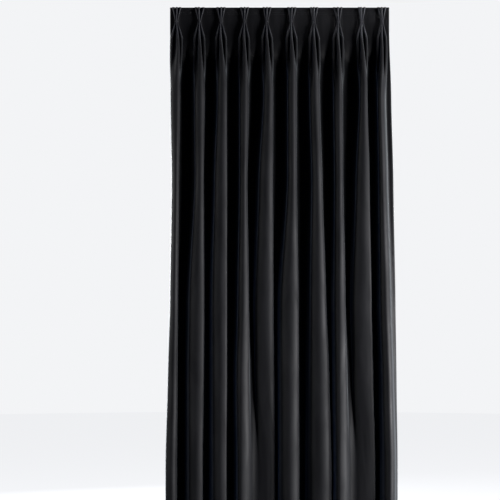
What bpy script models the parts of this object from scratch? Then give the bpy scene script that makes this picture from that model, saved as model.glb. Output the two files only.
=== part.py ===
"""A velvet curtain panel with ten triple pinch pleats, hanging from its top edge.

The origin is the middle of the top edge. X runs across the curtain, the viewer stands on the -Y side, and the
cloth hangs down -Z. The panel is one sheet of cloth. Each of its level sections is worked out in plan: flat
spaces and three small loops to a pleat in the stiff heading, and one deep fold to a pleat below it.
"""

import bpy
import numpy as np

# Driving dimensions, in metres. A drop is measured down from the top edge.
DROP = 2.500
HEADING_WIDTH = 1.000
CLOTH = 0.0015  # velvet with its pile pressed
PINCH_DROP = 0.066  # where each pleat is tacked
STIFF_DROP = 0.142  # where the stiffened heading ends
OPEN_DROP = 0.300  # where the loops have nearly opened out
RELAX_DROP = 0.105  # where the cloth starts to fall into folds
LAYER_PITCH = 0.0027  # from layer to layer of cloth at the tack
END_FLAT = 0.030  # flat cloth outside the first and the last pleat
END_FORWARD = 0.006  # how far the heading's right end stands forward
PLEAT_CLOTH = 0.146  # flat cloth taken up by one pleat

# Drops of the mesh rows: close together where the loops open into folds, wide apart in the long folds.
ROW_DROPS = (
    0.0, 0.033, PINCH_DROP, 0.104, STIFF_DROP, 0.185, 0.225, 0.260, 0.280, OPEN_DROP, 0.370, 0.480,
    0.790, 1.060, 1.340, 1.520, 1.700, 2.070, DROP,
)

# A pleat at four drops, in metres: the half-width at its roots, how far the two bases between its loops lie from
# its middle, the half-width of each base, how far the left and the right base stand forward, the half-width of a
# loop's front and how far the loops reach forward of their bases.
PLEAT_DROPS = (0.0, PINCH_DROP, STIFF_DROP, OPEN_DROP)
ROOT_HALF = (0.0085, 2.5 * LAYER_PITCH, 0.0130, 0.0260)
BASE_OFF = ((0.0038, LAYER_PITCH, 0.0070, 0.0120), (0.0038, LAYER_PITCH, 0.0070, 0.0080))
BASE_HALF = (0.0014, 0.5 * LAYER_PITCH, 0.0025, 0.0040)
BASE_FORWARD = ((0.0012, 0.0012, 0.0060, 0.0120), (0.0012, 0.0012, 0.0070, 0.0300))
FRONT_HALF = (0.0034, 0.5 * LAYER_PITCH, 0.0040, 0.0070)
LOOP_REACH = (0.0220, 0.0220, 0.0240, 0.0220)
MIDDLE_REACH = 0.003  # how much further the middle loop reaches
MOST_LEAN = 0.75  # how far a loop may lean sideways, as a share of its reach
# How far the left, middle and right loops drift between the foot of the heading and the open drop.
OPEN_DRIFT = {"left": -0.002, "mid": 0.012, "right": 0.006}
# Where a pleat's twelve points lie along its cloth, as shares of it.
PLEAT_SHARES = (0.0, 0.11, 0.20, 0.29, 0.38, 0.46, 0.54, 0.62, 0.70, 0.79, 0.89, 1.0)

# One row for each pleat, in millimetres: where its pinch lies from the middle of the curtain, how far its left,
# middle and right loops stand from the pinch at the top edge and at the foot of the heading, and the drop at which
# the loops have become one fold. The last column is how far that fold rounds over its right edge, against the rest.
PLEAT_COLUMNS = ("pinch", "top_left", "top_mid", "top_right", "low_left", "low_mid", "low_right", "merge", "turn")
PLEATS = (
    (-470, -17, 2, 19, -26, 8, 26, 370, 1.0),
    (-366, -18, -2, 22, -24, 0, 23, 400, 0.8),
    (-268, -17, 3, 19, -23, -3, 23, 370, 0.5),
    (-160, -17, 1, 18, -25, -5, 20, 410, 1.2),
    (-59, -15, 2, 19, -22, 0, 24, 390, 1.0),
    (53, -15, 4, 21, -24, -1, 24, 340, 1.2),
    (156, -15, 0, 17, -21, -1, 23, 420, 1.3),
    (268, -22, -3, 15, -25, -5, 20, 430, 1.2),
    (374, -14, -3, 15, -22, -3, 23, 380, 0.5),
    (466, -18, -1, 17, -21, -2, 19, 430, 1.0),
)

# The folds below the heading, in millimetres from each pleat's pinch: the foot of the left slope and the edge
# that stands out to the right, at five drops.
FOLD_DROPS = (0.420, 0.790, 1.340, 1.700, 2.070)
FOLD_FEET = (
    (-14, -24, -30, -38, -46),
    (-25, -22, -52, -57, -57),
    (-18, -32, -45, -45, -45),
    (-25, -25, -34, -43, -38),
    (-16, -39, -57, -52, -34),
    (-19, -19, -56, -56, -56),
    (-21, -12, -21, -26, -30),
    (-24, -20, -24, -21, -17),
    (-11, -29, -47, -40, -16),
    (-21, -16, -12, -3, 2),
)
FOLD_EDGES = (
    (16, 11, 7, 6, 5),
    (24, 20, 22, 20, 15),
    (26, 27, 27, 27, 25),
    (20, 12, 23, 37, 54),
    (29, 28, 30, 33, 38),
    (25, 25, 32, 35, 39),
    (27, 38, 55, 69, 78),
    (20, 21, 35, 53, 72),
    (24, 34, 43, 51, 61),
    (16, 25, 41, 52, 62),
)
# How far each fold stands forward against the mean fold, at the same drops.
FOLD_SIZES = (
    (0.95, 0.95, 0.95, 0.95, 0.95),
    (1.00, 1.00, 1.00, 1.00, 1.00),
    (1.05, 1.05, 1.05, 1.05, 1.05),
    (0.98, 0.98, 1.00, 1.04, 1.06),
    (1.04, 1.04, 0.90, 0.55, 0.22),
    (1.02, 1.02, 1.02, 1.02, 1.02),
    (1.06, 1.06, 1.06, 1.06, 1.06),
    (0.96, 0.96, 1.00, 1.04, 1.06),
    (1.03, 1.03, 0.92, 0.57, 0.24),
    (1.00, 1.00, 1.00, 1.00, 1.00),
)
# How softly each fold runs into the valley on its right, at the same drops: 0 overhangs it, 1 slopes gently.
FOLD_SOFTNESS = (
    (0.0, 0.0, 0.1, 0.2, 0.3),
    (0.0, 0.0, 0.0, 0.0, 0.0),
    (0.0, 0.0, 0.0, 0.0, 0.0),
    (0.0, 0.0, 0.3, 0.7, 1.0),
    (0.0, 0.0, 0.0, 0.0, 0.0),
    (0.0, 0.0, 0.0, 0.1, 0.2),
    (0.0, 0.0, 0.0, 0.0, 0.0),
    (0.0, 0.0, 0.3, 0.7, 1.0),
    (0.0, 0.0, 0.0, 0.0, 0.0),
    (0.6, 0.4, 0.1, 0.0, 0.0),
)
# How far the wall behind a fold's edge leans back under it, in metres, at these drops.
WALL_DROPS = (0.250, 0.360, 0.790, DROP)
WALL_OVERHANG = (0.001, 0.005, 0.008, 0.009)
# At the same drops: how far across from its foot to its edge a fold stands furthest forward, how far across from
# foot to crest its shoulder lies, and how far the middle of that slope lies behind the crest, as a share of depth.
CREST_SHARE = (0.62, 0.58, 0.60, 0.60)
SHOULDER_SHARE = (0.26, 0.16, 0.20, 0.30)
SLOPE_FALL = (0.05, 0.05, 0.06, 0.08)

# A fold's curve. Across: the middle of its slope, as a share of the way from foot to crest, and its turn, as a
# share of the way from crest to edge.
SLOPE_SHARE = 0.50
TURN_SHARE = 0.60
# Back: how far its foot has risen from the valley before it, and how far its shoulder, turn, edge and wall lie
# behind its crest, as shares of its depth. Turn, edge and wall are given sharp and soft.
FOOT_RISE = 0.40
SHOULDER_FALL = 0.18
TURN_FALL = (0.04, 0.12)
EDGE_FALL = (0.16, 0.38)
WALL_FALL = (0.50, 0.90)
SOFT_VALLEY = 0.46
# A soft fold's crest moves in from its edge by this share of the fold, and its edge and wall by these shares of
# the way from edge to crest.
SOFT_CREST = 0.38
SOFT_EDGE = 0.47
SOFT_WALL = 0.20
# The first fold's shoulder, from the bend beside the left edge, in metres, and behind its crest, as a share.
FIRST_SHOULDER = 0.006
FIRST_FALL = 0.10
# The last fold's turn and edge, behind its crest, as shares of its depth, and the place of the middle of the flap
# beyond it, from the bend to the right edge.
LAST_TURN_FALL = 0.10
LAST_FALL = 0.34
FLAP_MIDDLE = 0.40
VALLEY_SHIFT = 0.002  # how far right of the middle of its gap a valley is deepest

# The left edge of the cloth at the same drops as the folds, in millimetres: its own place, and the bend beside it.
LEFT_END = {
    "edge_x": (-488, -482, -491, -501, -511),
    "edge_y": (34, 42, 46, 46, 46),
    "bend_x": (-497, -492, -500, -510, -520),
    "bend_y": (10, 8, 6, 6, 6),
}
# The right edge of the cloth in the same way.
RIGHT_END = {
    "edge_x": (510, 520, 530, 535, 540),
    "edge_y": (4, 6, 13, 17, 21),
    "bend_x": (489, 498, 514, 525, 534),
    "bend_y": (11, 10, 9, 9, 10),
}

# The cloth between two pleats falls back into its valley between these drops, later and quicker than the pleats
# open: all of it that lies this near to the middle of the space, and less and less over the fade beyond.
SPACE_DROPS = (0.150, 0.310)
SPACE_HALF = 0.030
SPACE_FADE = 0.035

CURVE_STEPS = 8  # points from one anchor of a curve to the next
DEPTH_RANGE = (0.02, 0.20)
DEPTH_HALVINGS = 24
SHARPEST_MITRE = 0.45

COLUMN = {name: i for i, name in enumerate(PLEAT_COLUMNS)}
MM = 0.001


def column(name):
    """One column of the pleat table, as an array."""
    return np.array([row[COLUMN[name]] for row in PLEATS], dtype=float)


def smooth(share):
    """Eases a share from 0 to 1."""
    share = np.clip(share, 0.0, 1.0)
    return share * share * (3.0 - 2.0 * share)


def mix(pair, share):
    """Goes from the first value of a pair to the second."""
    first, second = pair
    return first + (second - first) * share


def eased(drop, drops, values):
    """Reads a table by drop, and eases from each of its stations to the next."""
    drop = min(max(drop, drops[0]), drops[-1])
    i = min(int(np.searchsorted(drops, drop, side="right")) - 1, len(drops) - 2)
    share = (drop - drops[i]) / (drops[i + 1] - drops[i])
    return values[i] + (values[i + 1] - values[i]) * (0.5 * share + 0.5 * smooth(share))


def pleat_plan(pleat, drop):
    """A pleat's twelve points in plan, from its left root to its right one, while the heading holds it."""
    def level(values):
        return eased(drop, PLEAT_DROPS, values)

    row = PLEATS[pleat]
    root, half = level(ROOT_HALF), level(BASE_HALF)
    bases = (-level(BASE_OFF[0]), level(BASE_OFF[1]))
    forward = [-level(values) for values in BASE_FORWARD]
    points = [(-root, 0.0)]
    for loop, side in enumerate(("left", "mid", "right")):
        low = row[COLUMN[f"low_{side}"]] * MM
        front_x = level((
            row[COLUMN[f"top_{side}"]] * MM,
            (loop - 1) * 2 * LAYER_PITCH,
            low,
            low + OPEN_DRIFT[side],
        ))
        base_x = 0.5 * ((-root, *bases)[loop] + (*bases, root)[loop])
        reach = level(LOOP_REACH) + (MIDDLE_REACH if loop == 1 else 0.0)
        run = np.clip(front_x - base_x, -MOST_LEAN * reach, MOST_LEAN * reach)
        axis = np.array([run, -np.sqrt(reach ** 2 - run ** 2)]) / reach
        square = np.array([-axis[1], axis[0]]) * level(FRONT_HALF)
        stand = 0.5 * (forward[max(loop - 1, 0)] + forward[min(loop, 1)])
        front = np.array([front_x, axis[1] * reach + stand])
        points += [front - square, front + square]
        if loop < 2:
            points += [(bases[loop] - half, forward[loop]), (bases[loop] + half, forward[loop])]
    points.append((root, 0.0))
    return np.array(points) + (row[COLUMN["pinch"]] * MM, 0.0)


def spline(anchors, steps):
    """A curve through the anchors, with knots spaced by the root of their distance so that it makes no loops."""
    ends = [2 * anchors[0] - anchors[1]], [2 * anchors[-1] - anchors[-2]]
    p = np.concatenate([ends[0], anchors, ends[1]])
    knots = np.concatenate([[0.0], np.cumsum(np.sqrt(np.linalg.norm(np.diff(p, axis=0), axis=1)) + 1e-9)])
    curve = []
    for i in range(1, len(p) - 2):
        t0, t1, t2, t3 = knots[i - 1:i + 3]
        for t in np.linspace(t1, t2, steps, endpoint=False):
            a1 = (t1 - t) / (t1 - t0) * p[i - 1] + (t - t0) / (t1 - t0) * p[i]
            a2 = (t2 - t) / (t2 - t1) * p[i] + (t - t1) / (t2 - t1) * p[i + 1]
            a3 = (t3 - t) / (t3 - t2) * p[i + 1] + (t - t2) / (t3 - t2) * p[i + 2]
            b1 = (t2 - t) / (t2 - t0) * a1 + (t - t0) / (t2 - t0) * a2
            b2 = (t3 - t) / (t3 - t1) * a2 + (t - t1) / (t3 - t1) * a3
            curve.append((t2 - t) / (t2 - t1) * b1 + (t - t1) / (t2 - t1) * b2)
    return np.array(curve + [anchors[-1]])


def fold_anchors(drop, depth):
    """Anchors of the whole folded section in plan, and the index of each valley's bottom among them."""
    pinches, turns = column("pinch") * MM, column("turn")
    feet, edges, sizes, softness = (
        np.array([eased(drop, FOLD_DROPS, row) for row in table])
        for table in (FOLD_FEET, FOLD_EDGES, FOLD_SIZES, FOLD_SOFTNESS)
    )
    feet, edges = pinches + feet * MM, pinches + edges * MM
    left, right = (
        {name: eased(drop, FOLD_DROPS, values) * MM for name, values in end.items()} for end in (LEFT_END, RIGHT_END)
    )
    overhang, crest_share, shoulder_share, slope_fall = (
        eased(drop, WALL_DROPS, values) for values in (WALL_OVERHANG, CREST_SHARE, SHOULDER_SHARE, SLOPE_FALL)
    )
    anchors = [(left["edge_x"], left["edge_y"]), (left["bend_x"], left["bend_y"])]
    valleys = []
    back = 0.5 * depth
    for k in range(len(PLEATS)):
        front = -0.5 * depth * sizes[k]
        soft = softness[k]
        crest = feet[k] + (edges[k] - feet[k]) * (crest_share - SOFT_CREST * soft)
        if k:
            anchors.append((feet[k], back - FOOT_RISE * (back - front)))
            for share, fall in ((shoulder_share, SHOULDER_FALL), (SLOPE_SHARE, slope_fall)):
                anchors.append((feet[k] + share * (crest - feet[k]), front + fall * (back - front)))
        else:
            anchors.append((left["bend_x"] + FIRST_SHOULDER, front + FIRST_FALL * depth))
        anchors.append((crest, front))
        if k == len(PLEATS) - 1:
            fall = 0.5 * depth - front
            anchors.append((crest + TURN_SHARE * (edges[k] - crest), front + LAST_TURN_FALL * fall))
            anchors.append((edges[k], front + LAST_FALL * fall))
            for share in (0.0, FLAP_MIDDLE, 1.0):
                anchors.append(tuple(mix((right[f"bend_{way}"], right[f"edge_{way}"]), share) for way in "xy"))
            break
        back = mix((0.5 * depth, front + SOFT_VALLEY * depth), soft)
        fall = back - front
        inward = soft * (edges[k] - crest)
        edge = edges[k] - SOFT_EDGE * inward
        wall = edges[k] - (1.0 - soft) * overhang - SOFT_WALL * inward
        turn_fall = mix((turns[k] * TURN_FALL[0], TURN_FALL[1]), soft)
        edge_fall = mix((turns[k] * EDGE_FALL[0], EDGE_FALL[1]), soft)
        anchors.append((crest + TURN_SHARE * (edge - crest), front + turn_fall * fall))
        anchors.append((edge, front + edge_fall * fall))
        anchors.append((wall, front + mix(WALL_FALL, soft) * fall))
        valleys.append(len(anchors))
        anchors.append((0.5 * (edges[k] + feet[k + 1]) + VALLEY_SHIFT, back))
    return np.array(anchors), valleys


def fold_plan(drop, depth, cloth_marks):
    """The folded section in plan at each cloth mark, and its whole length."""
    anchors, valleys = fold_anchors(drop, depth)
    curve = spline(anchors, CURVE_STEPS)
    run = np.concatenate([[0.0], np.cumsum(np.linalg.norm(np.diff(curve, axis=0), axis=1))])
    run_stops = np.concatenate([[0.0], run[np.array(valleys) * CURVE_STEPS], [run[-1]]])
    cloth_stops = np.concatenate([[0.0], space_middles(), [cloth_marks[-1]]])
    at = np.interp(cloth_marks, cloth_stops, run_stops)
    return np.column_stack([np.interp(at, run, curve[:, i]) for i in range(2)]), run[-1]


def cloth_layout():
    """Places along the flat cloth of every point of a section, and each point's pleat (a half between two)."""
    pleat = np.array(PLEAT_SHARES) * PLEAT_CLOTH
    roots = eased(PINCH_DROP, PLEAT_DROPS, ROOT_HALF)
    pinches = column("pinch") * MM
    marks, owners = [0.0, 0.5 * END_FLAT], [0.0, 0.0]
    start = END_FLAT
    for k in range(len(PLEATS)):
        marks += list(start + pleat)
        owners += [float(k)] * len(pleat)
        start += pleat[-1]
        if k + 1 < len(PLEATS):
            space = pinches[k + 1] - pinches[k] - 2 * roots
            marks += [start + space / 3, start + 2 * space / 3]
            owners += [k + 0.5] * 2
            start += space
    marks += [start + 0.5 * END_FLAT, start + END_FLAT]
    owners += [float(len(PLEATS) - 1)] * 2
    return np.array(marks), np.array(owners)


def space_middles():
    """Where the middle of each flat space lies along the cloth."""
    marks, owners = cloth_layout()
    return np.array([marks[owners == k + 0.5].mean() for k in range(len(PLEATS) - 1)])


def heading_plan(drop):
    """The section in plan while the heading holds it: ten pleats with straight cloth between them."""
    parts = [pleat_plan(k, drop) for k in range(len(PLEATS))]
    half = 0.5 * HEADING_WIDTH
    points = [np.array([(-half, 0.0), (0.5 * (parts[0][0, 0] - half), 0.0)])]
    for k, pleat in enumerate(parts):
        points.append(pleat)
        if k + 1 < len(parts):
            a, b = pleat[-1], parts[k + 1][0]
            points.append(np.array([a + (b - a) / 3, a + 2 * (b - a) / 3]))
    points.append(np.array([(0.5 * (parts[-1][-1, 0] + half), -0.5 * END_FORWARD), (half, -END_FORWARD)]))
    return np.concatenate(points)


def fold_depth(drop, marks):
    """The depth of folds that takes up just the width of the flat cloth."""
    low, high = DEPTH_RANGE
    for _ in range(DEPTH_HALVINGS):
        depth = 0.5 * (low + high)
        if fold_plan(drop, depth, marks)[1] < marks[-1]:
            low = depth
        else:
            high = depth
    return 0.5 * (low + high)


def section(drop):
    """The middle line of the cloth in plan at one drop."""
    marks, owners = cloth_layout()
    from_space = np.abs(marks[:, None] - space_middles()[None, :]).min(axis=1)
    in_space = smooth(1.0 - (from_space - SPACE_HALF) / SPACE_FADE)
    first = mix((RELAX_DROP, SPACE_DROPS[0]), in_space)
    last = mix((np.interp(owners, range(len(PLEATS)), column("merge") * MM), SPACE_DROPS[1]), in_space)
    relaxed = smooth((drop - first) / (last - first))
    at = max(drop, WALL_DROPS[0])
    folds = fold_plan(at, fold_depth(at, marks), marks)[0]
    return heading_plan(drop) * (1.0 - relaxed)[:, None] + folds * relaxed[:, None]


def thicken(line, thickness):
    """Both faces of the cloth in plan: the line moved half a thickness to each side, mitred at its corners."""
    runs = np.diff(line, axis=0)
    runs /= np.linalg.norm(runs, axis=1)[:, None]
    squares = np.column_stack([runs[:, 1], -runs[:, 0]])
    before, after = np.vstack([squares[:1], squares]), np.vstack([squares, squares[-1:]])
    mitre = before + after
    reach = np.clip(1.0 + (before * after).sum(axis=1), SHARPEST_MITRE, None)
    offset = mitre / reach[:, None] * (0.5 * thickness)
    return line + offset, line - offset


def make_velvet():
    """Matt charcoal velvet."""
    material = bpy.data.materials.new("charcoal_velvet")
    material.use_nodes = True
    shader = material.node_tree.nodes["Principled BSDF"]
    shader.inputs["Base Color"].default_value = (0.010, 0.010, 0.012, 1.0)
    shader.inputs["Roughness"].default_value = 0.90
    shader.inputs["Metallic"].default_value = 0.0
    shader.inputs["Sheen Weight"].default_value = 0.60
    shader.inputs["Sheen Roughness"].default_value = 0.35
    return material


def split(corners, places):
    """Halves a four-cornered patch along its shorter diagonal, so that the patch bends as little as it can."""
    a, b, c, d = corners
    pa, pb, pc, pd = (places[corner] for corner in corners)
    if np.linalg.norm(pa - pc) <= np.linalg.norm(pb - pd):
        return [(a, b, c), (a, c, d)]
    return [(a, b, d), (b, c, d)]


def make_panel():
    """The curtain as one closed sheet: a front and a back face, joined around their rim."""
    front, back, middle = [], [], []
    for drop in ROW_DROPS:
        line = section(drop)
        ahead, behind = thicken(line, CLOTH)
        front += [(x, y, -drop) for x, y in ahead]
        back += [(x, y, -drop) for x, y in behind]
        middle += [(x, y, -drop) for x, y in line]
    middle = np.array(middle)
    columns, rows = len(middle) // len(ROW_DROPS), len(ROW_DROPS)
    count = rows * columns

    faces = []
    for row in range(rows - 1):
        for col in range(columns - 1):
            here = row * columns + col
            patch = (here, here + columns, here + columns + 1, here + 1)
            for a, b, c in split(patch, middle):
                faces.append((a, b, c))
                faces.append((a + count, c + count, b + count))
    top = list(range(columns))
    right = [row * columns + columns - 1 for row in range(1, rows)]
    bottom = [(rows - 1) * columns + col for col in range(columns - 2, -1, -1)]
    left = [row * columns for row in range(rows - 2, 0, -1)]
    rim = top + right + bottom + left
    for here, following in zip(rim, rim[1:] + rim[:1]):
        faces.append((here, following, following + count))
        faces.append((here, following + count, here + count))
    mesh = bpy.data.meshes.new("velvet_panel")
    mesh.from_pydata(front + back, [], faces)
    mesh.validate()
    mesh.shade_smooth()
    panel = bpy.data.objects.new("velvet_panel", mesh)
    bpy.context.scene.collection.objects.link(panel)
    panel.data.materials.append(make_velvet())
    return panel


for leftover in list(bpy.data.objects):
    bpy.data.objects.remove(leftover, do_unlink=True)
make_panel()
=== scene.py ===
"""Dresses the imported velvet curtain: ten triple pinch pleats in a stiff heading, and long folds down to a plain hem.

Units are metres. X runs across the curtain, the viewer stands on its -Y side, and the cloth hangs down -Z from the
middle of its top edge, which is the origin.
"""

import logging
import math
from abc import ABC, abstractmethod
from dataclasses import dataclass, replace
from enum import Enum
from typing import Callable, Sequence

import bmesh
import bpy
import numpy as np
from mathutils import Matrix, Vector


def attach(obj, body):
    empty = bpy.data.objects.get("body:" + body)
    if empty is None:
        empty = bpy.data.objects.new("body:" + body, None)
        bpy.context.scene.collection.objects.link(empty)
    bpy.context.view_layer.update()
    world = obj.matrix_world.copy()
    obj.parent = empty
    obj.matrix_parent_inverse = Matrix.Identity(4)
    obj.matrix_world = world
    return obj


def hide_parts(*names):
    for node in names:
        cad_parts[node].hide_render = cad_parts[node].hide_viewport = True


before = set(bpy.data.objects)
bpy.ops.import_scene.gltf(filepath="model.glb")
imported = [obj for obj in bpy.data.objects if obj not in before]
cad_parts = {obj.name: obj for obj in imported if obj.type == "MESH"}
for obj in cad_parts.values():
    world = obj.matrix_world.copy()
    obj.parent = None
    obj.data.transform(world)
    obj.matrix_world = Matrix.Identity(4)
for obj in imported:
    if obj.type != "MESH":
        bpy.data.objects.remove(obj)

log = logging.getLogger("velvet_curtain")

MM = 0.001
TINY = 1e-9
CAD_NODE = "velvet_panel"
BODY = "root"
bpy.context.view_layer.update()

Node = bpy.types.ShaderNode
NodeTree = bpy.types.NodeTree
Material = bpy.types.Material
Piece = bpy.types.Object
Inputs = dict[str | int, object]
Amount = float | np.ndarray
Colour = tuple[float, float, float, float]
Span = tuple[float, float]
Three = tuple[float, float, float]
Five = tuple[float, float, float, float, float]
Table = tuple[float, ...]


# ------------------------------------------------------------
# Finishes
# ------------------------------------------------------------


def linear(hex_colour: str) -> Colour:
    """Turns an sRGB hex colour into the linear one that a shader takes.

    Args:
        hex_colour: Six hex digits, red first.

    Returns:
        Linear red, green and blue, and an alpha of 1.
    """
    channels = [int(hex_colour[i:i + 2], 16) / 255.0 for i in (0, 2, 4)]
    red, green, blue = (c / 12.92 if c <= 0.04045 else ((c + 0.055) / 1.055) ** 2.4 for c in channels)
    return red, green, blue, 1.0


def grey(value: float) -> Colour:
    """A linear grey."""
    return value, value, value, 1.0


def fill_inputs(tree: NodeTree, node: Node, inputs: Inputs) -> Node:
    """Fills or links a node's inputs.

    Args:
        tree: The node tree.
        node: The node.
        inputs: Sockets by name or number, each with a plain value, another node's output to link from, or
            another node, which stands for its first output.

    Returns:
        The same node.
    """
    for socket, value in inputs.items():
        value = value.outputs[0] if isinstance(value, bpy.types.Node) else value
        if isinstance(value, bpy.types.NodeSocket):
            tree.links.new(value, node.inputs[socket])
        else:
            node.inputs[socket].default_value = value
    return node


def add_node(
    tree: NodeTree, kind: str, settings: dict[str, object] | None = None, inputs: Inputs | None = None,
) -> Node:
    """Adds one node, with its settings and its inputs.

    Args:
        tree: The node tree.
        kind: The node's type name.
        settings: Properties to set on the node.
        inputs: What goes into its sockets.

    Returns:
        The new node.
    """
    node = tree.nodes.new(kind)
    for name, value in (settings or {}).items():
        setattr(node, name, value)
    return fill_inputs(tree, node, inputs or {})


def fill_ramp(node: Node, places: Sequence[float], colours: Sequence[Colour]) -> Node:
    """Sets the two stops of a colour ramp.

    Args:
        node: A Color Ramp node.
        places: Each stop's position.
        colours: Each stop's linear colour.

    Returns:
        The same node.
    """
    for stop, place, colour in zip(node.color_ramp.elements, places, colours):
        stop.position = place
        stop.color = colour
    return node


class Finish(ABC):
    """A finish, which becomes one material named for what it is."""

    name: str

    def material(self) -> Material:
        """Builds the material round its Principled shader.

        Returns:
            The new material.
        """
        material = bpy.data.materials.new(self.name)
        material.use_nodes = True
        tree = material.node_tree
        fill_inputs(tree, tree.nodes["Principled BSDF"], self.surface(tree))
        return material

    @abstractmethod
    def surface(self, tree: NodeTree) -> Inputs:
        """Adds the finish's own nodes and gives what goes into the shader.

        Args:
            tree: The material's node tree.

        Returns:
            What goes into the shader.
        """


def wave_scale(gap: float) -> float:
    """The scale that makes a Wave texture repeat once a gap. At 1 it repeats 20 / (2 pi) times to the unit."""
    return 2.0 * math.pi / (20.0 * gap)


@dataclass(frozen=True)
class CottonVelvetPile(Finish):
    """Cotton velvet with a short cut pile, dyed charcoal black.

    The pile swallows light that meets it head on, so the cloth is nearly black, and it glows along the edges of the
    folds, where the light and the eye both skim the tips of its fibres. Hands and folding leave the pile leaning a
    little this way and that, which gives soft upright patches that are lighter or darker.
    """

    name: str = "charcoal_cotton_velvet_pile"
    shaded: str = "050507"
    brushed: str = "0F0F11"
    tone_range: Span = (0.32, 0.68)
    # Real pile tufts are about 0.3 mm apart. They are drawn 1.6 mm apart, so that they show at all.
    tuft_gap: float = 1.6 * MM
    tuft_height: float = 0.10 * MM
    tuft_range: Span = (0.30, 0.70)
    tuft_tones: Span = (0.62, 1.30)
    brush_width: float = 45 * MM
    brush_length: float = 260 * MM
    brush_height: float = 0.35 * MM
    crease_gap: float = 24 * MM
    crease_length: float = 96 * MM
    crease_slant: float = -38.0
    crease_height: float = 2.2 * MM
    # A painted highlight: a lighter pile colour along the tight front turns of the loops, where bright lines of light
    # fall.
    painted_loop_highlight: str = "46464C"
    gloss: float = 0.045
    gloss_range: Span = (0.3, 0.7)
    roughest: float = 0.62
    smoothest: float = 0.50
    sheen: float = 1.0
    sheen_roughness: float = 0.30
    sheen_tint: str = "ECF2F4"

    def surface(self, tree: NodeTree) -> Inputs:
        """Adds tufts, brushed patches and creases on the sheet's UV map, the flat cloth in metres, and a painted
        highlight on the loops.

        Args:
            tree: The material's node tree.

        Returns:
            What goes into the shader.
        """
        cloth = add_node(tree, "ShaderNodeUVMap", {"uv_map": "flat_cloth"})
        brush_place = add_node(tree, "ShaderNodeMapping", inputs={
            "Vector": cloth,
            "Scale": (1.0 / self.brush_width, 1.0 / self.brush_length, 1.0),
        })
        brush = add_node(tree, "ShaderNodeTexNoise", inputs={
            "Vector": brush_place, "Scale": 1.0, "Detail": 3.0, "Roughness": 0.55,
            "Distortion": 0.4,
        })
        tufts = add_node(tree, "ShaderNodeTexNoise", inputs={
            "Vector": cloth, "Scale": 1.0 / self.tuft_gap, "Detail": 2.0, "Roughness": 0.6,
        })
        tone = fill_ramp(
            add_node(tree, "ShaderNodeValToRGB", inputs={"Fac": brush}),
            self.tone_range, (linear(self.shaded), linear(self.brushed)),
        )
        speckle = fill_ramp(
            add_node(tree, "ShaderNodeValToRGB", inputs={"Fac": tufts}),
            self.tuft_range, [grey(tone) for tone in self.tuft_tones],
        )
        colour = add_node(tree, "ShaderNodeMix", {"data_type": "RGBA", "blend_type": "MULTIPLY"}, {
            0: 1.0, 6: tone, 7: speckle,
        })
        # Painted highlight: where the attribute "spread" asks, a lighter pile colour is mixed in along the loops'
        # front turns.
        spread = add_node(tree, "ShaderNodeAttribute", {"attribute_name": "spread"})
        turned = add_node(tree, "ShaderNodeMix", {"data_type": "RGBA"}, {
            0: spread.outputs["Fac"], 6: colour.outputs[2], 7: linear(self.painted_loop_highlight),
        })
        roughness = add_node(tree, "ShaderNodeMapRange", inputs={
            "Value": brush, "From Min": self.gloss_range[0], "From Max": self.gloss_range[1],
            "To Min": self.roughest, "To Max": self.smoothest,
        })
        tuft_bump = add_node(tree, "ShaderNodeBump", inputs={
            "Height": tufts, "Distance": self.tuft_height,
        })
        brush_bump = add_node(tree, "ShaderNodeBump", inputs={
            "Height": brush, "Distance": self.brush_height,
            "Normal": tuft_bump,
        })
        return {
            "Base Color": turned.outputs[2],
            "Roughness": roughness,
            "Normal": self.creases(tree, cloth, brush_bump),
            "Specular IOR Level": self.gloss,
            "Sheen Weight": self.sheen,
            "Sheen Roughness": self.sheen_roughness,
            "Sheen Tint": linear(self.sheen_tint),
        }

    def creases(self, tree: NodeTree, cloth: Node, under: Node) -> Node:
        """Adds the small slanting creases that the sheet's attribute "crease" asks for.

        Args:
            tree: The material's node tree.
            cloth: The UV Map node.
            under: The bump node that these creases lie over.

        Returns:
            The last bump node.
        """
        wanted = add_node(tree, "ShaderNodeAttribute", {"attribute_name": "crease"})
        slant = add_node(tree, "ShaderNodeMapping", {"vector_type": "TEXTURE"}, {
            "Vector": cloth, "Rotation": (0.0, 0.0, math.radians(self.crease_slant)),
            "Scale": (self.crease_length, self.crease_gap, 1.0),
        })
        ridges = add_node(tree, "ShaderNodeTexNoise", inputs={
            "Vector": slant, "Scale": 1.0, "Detail": 1.5, "Roughness": 0.5, "Distortion": 0.6,
        })
        height = add_node(tree, "ShaderNodeMath", {"operation": "MULTIPLY"}, {
            0: ridges, 1: wanted.outputs["Fac"],
        })
        return add_node(tree, "ShaderNodeBump", inputs={
            "Height": height, "Distance": self.crease_height,
            "Normal": under,
        })


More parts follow.
